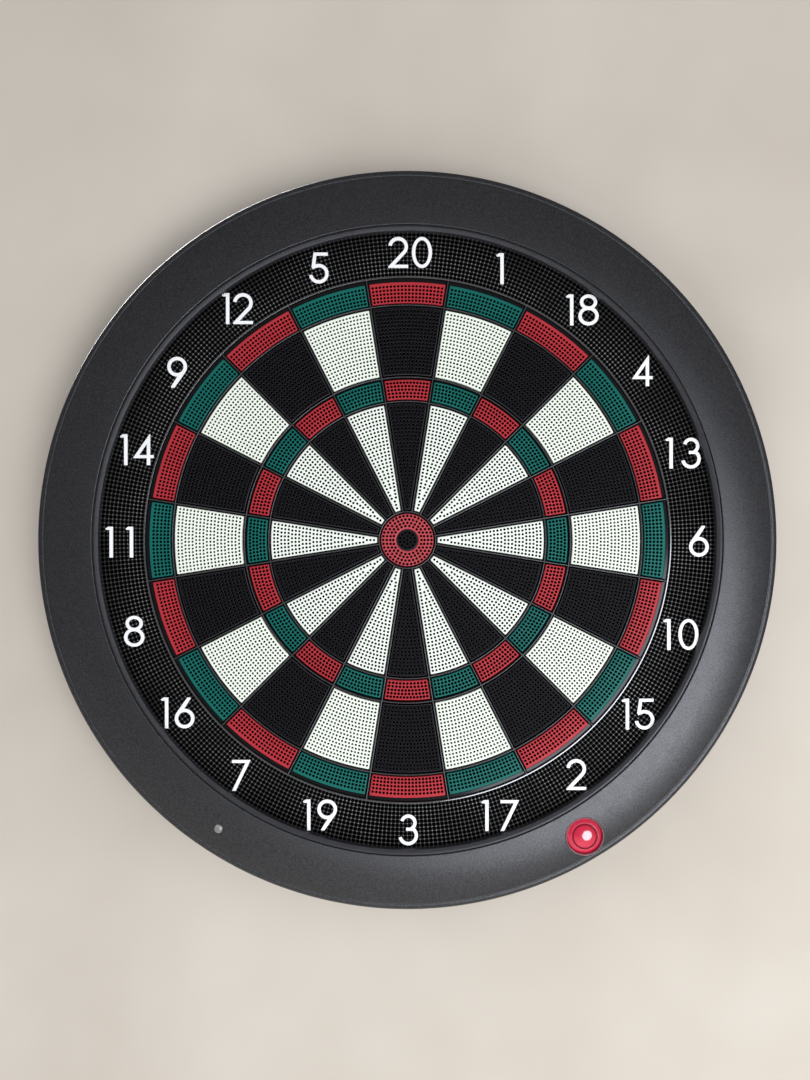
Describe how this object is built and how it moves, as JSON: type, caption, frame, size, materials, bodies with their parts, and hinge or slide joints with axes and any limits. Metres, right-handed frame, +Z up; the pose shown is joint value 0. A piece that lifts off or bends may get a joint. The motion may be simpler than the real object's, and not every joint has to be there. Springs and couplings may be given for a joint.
{
  "type": "electronic dartboard",
  "caption": "Round wall-hung electronic dartboard: perforated scoring segments in a spider grid, numbered catch ring, dished surround, push button and battery box.",
  "frame": {"origin": "on the axis of the bull, at the wall plane behind the board, which is also the middle of the wall bracket's four screw holes", "axes": "+Z up towards the 20, +X to the player's right, the face looks along -Y and the wall is at y = 0"},
  "size_m": [0.5679, 0.037, 0.568],
  "materials": {
    "housing_plastic": "satin moulded charcoal",
    "cover_plastic": "fine textured black",
    "ring_plastic": "matt black",
    "numeral_white": "white satin",
    "spider_plastic": "dark grey, polished ridges",
    "segment_black": "satin nylon",
    "segment_white": "satin nylon",
    "bull_red": "satin nylon",
    "button_red": "clear red gloss",
    "bezel_clear": "translucent light ring",
    "lens_clear": "clear acrylic",
    "led_epoxy": "clear epoxy",
    "chassis_plastic": "dark grey ABS",
    "rubber_black": "matt",
    "film_polyester": "printed polyester film",
    "board_green": "solder resist",
    "connector_white": "nylon",
    "component_black": "epoxy",
    "shield_tin": "tinned shield",
    "sensor_brass": "brass disc",
    "screw_zinc": "zinc plated",
    "spring_steel": "nickel plated",
    "cell_wrap": "plain wrapped cell",
    "cable_pvc": "PVC",
    "bracket_steel": "black powder coat"
  },
  "bodies": {
    "bracket": {"wall_bracket": "bracket_steel"},
    "housing": {"front_housing": "housing_plastic", "rear_cover": "cover_plastic", "catch_ring": "ring_plastic", "numerals": "numeral_white", "spider": "spider_plastic", "backing_plate": "chassis_plastic", "membrane_films": "film_polyester", "membrane_spacer": "film_polyester", "rubber_mat": "rubber_black", "membrane_tails": "film_polyester", "main_board": "board_green", "board_connectors": "connector_white", "board_components": "component_black", "radio_module": "shield_tin", "impact_sensor": "sensor_brass", "board_screws": "screw_zinc", "button_bezel": "bezel_clear", "button_board": "board_green", "button_switch": "component_black", "button_spring": "spring_steel", "status_lens": "lens_clear", "status_led": "led_epoxy", "led_board": "board_green", "battery_cells": "cell_wrap", "battery_contacts": "spring_steel", "battery_springs": "spring_steel", "signal_cables": "cable_pvc", "battery_cable": "cable_pvc", "hanger_plate": "bracket_steel", "hanger_screws": "screw_zinc", "chassis_screws": "screw_zinc", "cover_screws": "screw_zinc", "wall_pads": "rubber_black"},
    "sector_20": {"sector_20": "segment_black"},
    "sector_01": {"sector_01": "segment_white"},
    "sector_18": {"sector_18": "segment_black"},
    "sector_04": {"sector_04": "segment_white"},
    "sector_13": {"sector_13": "segment_black"},
    "sector_06": {"sector_06": "segment_white"},
    "sector_10": {"sector_10": "segment_black"},
    "sector_15": {"sector_15": "segment_white"},
    "sector_02": {"sector_02": "segment_black"},
    "sector_17": {"sector_17": "segment_white"},
    "sector_03": {"sector_03": "segment_black"},
    "sector_19": {"sector_19": "segment_white"},
    "sector_07": {"sector_07": "segment_black"},
    "sector_16": {"sector_16": "segment_white"},
    "sector_08": {"sector_08": "segment_black"},
    "sector_11": {"sector_11": "segment_white"},
    "sector_14": {"sector_14": "segment_black"},
    "sector_09": {"sector_09": "segment_white"},
    "sector_12": {"sector_12": "segment_black"},
    "sector_05": {"sector_05": "segment_white"},
    "outer_bull": {"outer_bull": "bull_red"},
    "inner_bull": {"inner_bull": "segment_black"},
    "button": {"button_cap": "button_red"},
    "battery_door": {"battery_door": "cover_plastic", "door_screw": "screw_zinc"}
  },
  "joints": [
    {"name": "lift_off_bracket", "type": "slide", "parent": "bracket", "child": "housing", "axis": [0, 0, 1], "range_m": [0, 0.014]},
    {"name": "press_20", "type": "slide", "parent": "housing", "child": "sector_20", "axis": [0, 1, 0], "range_m": [0, 0.0012], "stiffness_N_per_m": 6000},
    {"name": "press_01", "type": "slide", "parent": "housing", "child": "sector_01", "axis": [0, 1, 0], "range_m": [0, 0.0012], "stiffness_N_per_m": 6000},
    {"name": "press_18", "type": "slide", "parent": "housing", "child": "sector_18", "axis": [0, 1, 0], "range_m": [0, 0.0012], "stiffness_N_per_m": 6000},
    {"name": "press_04", "type": "slide", "parent": "housing", "child": "sector_04", "axis": [0, 1, 0], "range_m": [0, 0.0012], "stiffness_N_per_m": 6000},
    {"name": "press_13", "type": "slide", "parent": "housing", "child": "sector_13", "axis": [0, 1, 0], "range_m": [0, 0.0012], "stiffness_N_per_m": 6000},
    {"name": "press_06", "type": "slide", "parent": "housing", "child": "sector_06", "axis": [0, 1, 0], "range_m": [0, 0.0012], "stiffness_N_per_m": 6000},
    {"name": "press_10", "type": "slide", "parent": "housing", "child": "sector_10", "axis": [0, 1, 0], "range_m": [0, 0.0012], "stiffness_N_per_m": 6000},
    {"name": "press_15", "type": "slide", "parent": "housing", "child": "sector_15", "axis": [0, 1, 0], "range_m": [0, 0.0012], "stiffness_N_per_m": 6000},
    {"name": "press_02", "type": "slide", "parent": "housing", "child": "sector_02", "axis": [0, 1, 0], "range_m": [0, 0.0012], "stiffness_N_per_m": 6000},
    {"name": "press_17", "type": "slide", "parent": "housing", "child": "sector_17", "axis": [0, 1, 0], "range_m": [0, 0.0012], "stiffness_N_per_m": 6000},
    {"name": "press_03", "type": "slide", "parent": "housing", "child": "sector_03", "axis": [0, 1, 0], "range_m": [0, 0.0012], "stiffness_N_per_m": 6000},
    {"name": "press_19", "type": "slide", "parent": "housing", "child": "sector_19", "axis": [0, 1, 0], "range_m": [0, 0.0012], "stiffness_N_per_m": 6000},
    {"name": "press_07", "type": "slide", "parent": "housing", "child": "sector_07", "axis": [0, 1, 0], "range_m": [0, 0.0012], "stiffness_N_per_m": 6000},
    {"name": "press_16", "type": "slide", "parent": "housing", "child": "sector_16", "axis": [0, 1, 0], "range_m": [0, 0.0012], "stiffness_N_per_m": 6000},
    {"name": "press_08", "type": "slide", "parent": "housing", "child": "sector_08", "axis": [0, 1, 0], "range_m": [0, 0.0012], "stiffness_N_per_m": 6000},
    {"name": "press_11", "type": "slide", "parent": "housing", "child": "sector_11", "axis": [0, 1, 0], "range_m": [0, 0.0012], "stiffness_N_per_m": 6000},
    {"name": "press_14", "type": "slide", "parent": "housing", "child": "sector_14", "axis": [0, 1, 0], "range_m": [0, 0.0012], "stiffness_N_per_m": 6000},
    {"name": "press_09", "type": "slide", "parent": "housing", "child": "sector_09", "axis": [0, 1, 0], "range_m": [0, 0.0012], "stiffness_N_per_m": 6000},
    {"name": "press_12", "type": "slide", "parent": "housing", "child": "sector_12", "axis": [0, 1, 0], "range_m": [0, 0.0012], "stiffness_N_per_m": 6000},
    {"name": "press_05", "type": "slide", "parent": "housing", "child": "sector_05", "axis": [0, 1, 0], "range_m": [0, 0.0012], "stiffness_N_per_m": 6000},
    {"name": "press_outer_bull", "type": "slide", "parent": "housing", "child": "outer_bull", "axis": [0, 1, 0], "range_m": [0, 0.0012], "stiffness_N_per_m": 4000},
    {"name": "press_inner_bull", "type": "slide", "parent": "housing", "child": "inner_bull", "axis": [0, 1, 0], "range_m": [0, 0.0012], "stiffness_N_per_m": 2500},
    {"name": "press_button", "type": "slide", "parent": "housing", "child": "button", "axis": [0, 1, 0], "range_m": [0, 0.0015], "stiffness_N_per_m": 800, "deforming": ["button_spring"]},
    {"name": "open_battery_door", "type": "hinge", "parent": "housing", "child": "battery_door", "pos_m": [0, -0.0022, -0.2133], "axis": [1, 0, 0], "range_deg": [0, 95]}
  ]
}
